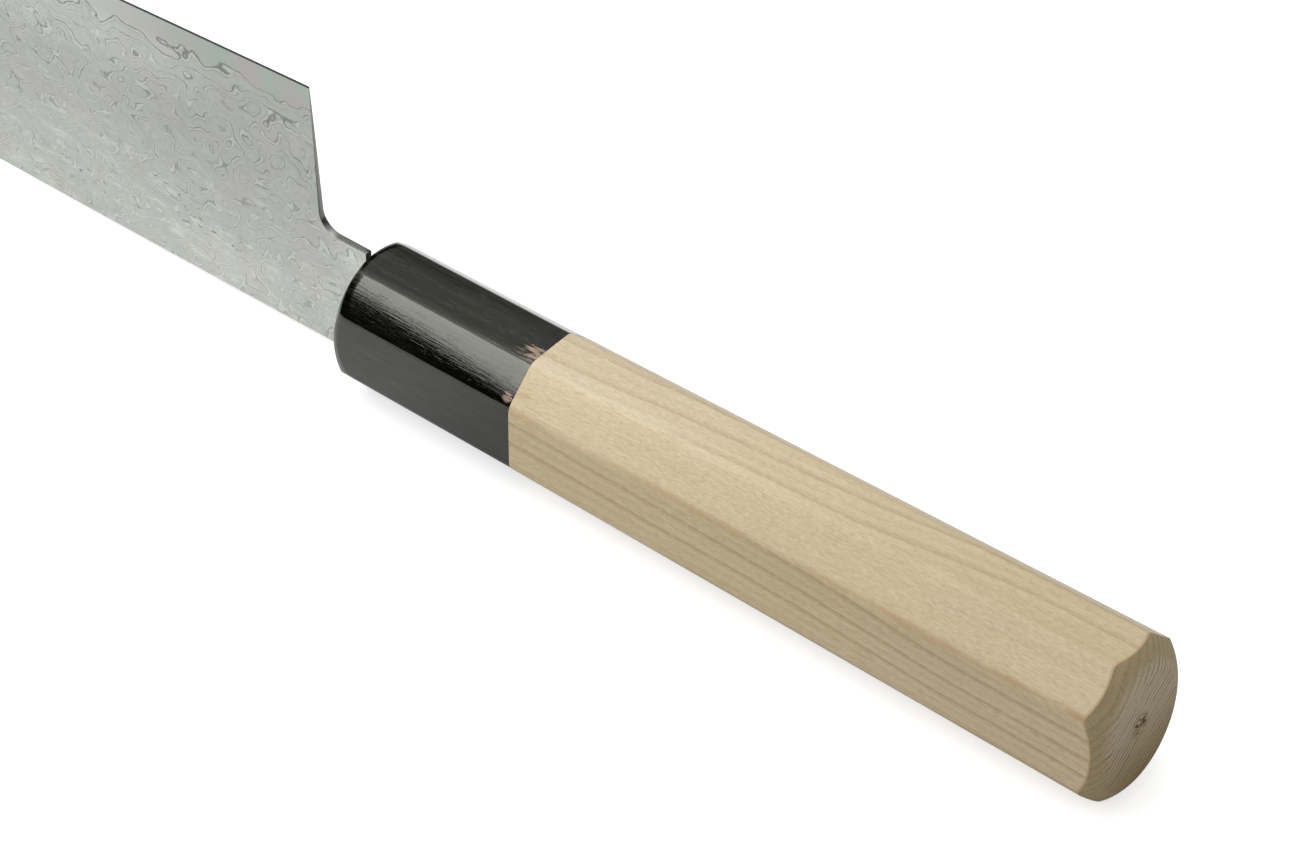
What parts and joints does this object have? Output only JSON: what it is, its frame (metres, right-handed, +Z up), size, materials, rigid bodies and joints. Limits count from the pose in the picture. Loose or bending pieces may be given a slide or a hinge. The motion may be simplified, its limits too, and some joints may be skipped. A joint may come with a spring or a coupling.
{
  "type": "gyuto chef's knife",
  "caption": "Japanese gyuto with a patterned laminated blade, hidden tang and octagonal wooden handle with a black horn ferrule.",
  "frame": {"origin": "bottom centre of the box, below the blade near its neck; the knife stands edge up on its spine and its butt", "axes": "+X from the butt to the tip, +Y out of the blade's right face, +Z up towards the cutting edge"},
  "size_m": [0.395, 0.0214, 0.0492],
  "materials": {
    "core_steel": "fine satin, bare at the cutting edge",
    "damascus_steel": "satin with a faint etched contour pattern",
    "buffalo_horn": "polished black horn",
    "magnolia": "sanded, unvarnished",
    "dowel_wood": "plain, hidden"
  },
  "bodies": {
    "root": {"core_steel": "core_steel", "cladding_right": "damascus_steel", "cladding_left": "damascus_steel", "horn_ferrule": "buffalo_horn", "wood_handle": "magnolia", "joining_dowel": "dowel_wood"}
  },
  "joints": []
}
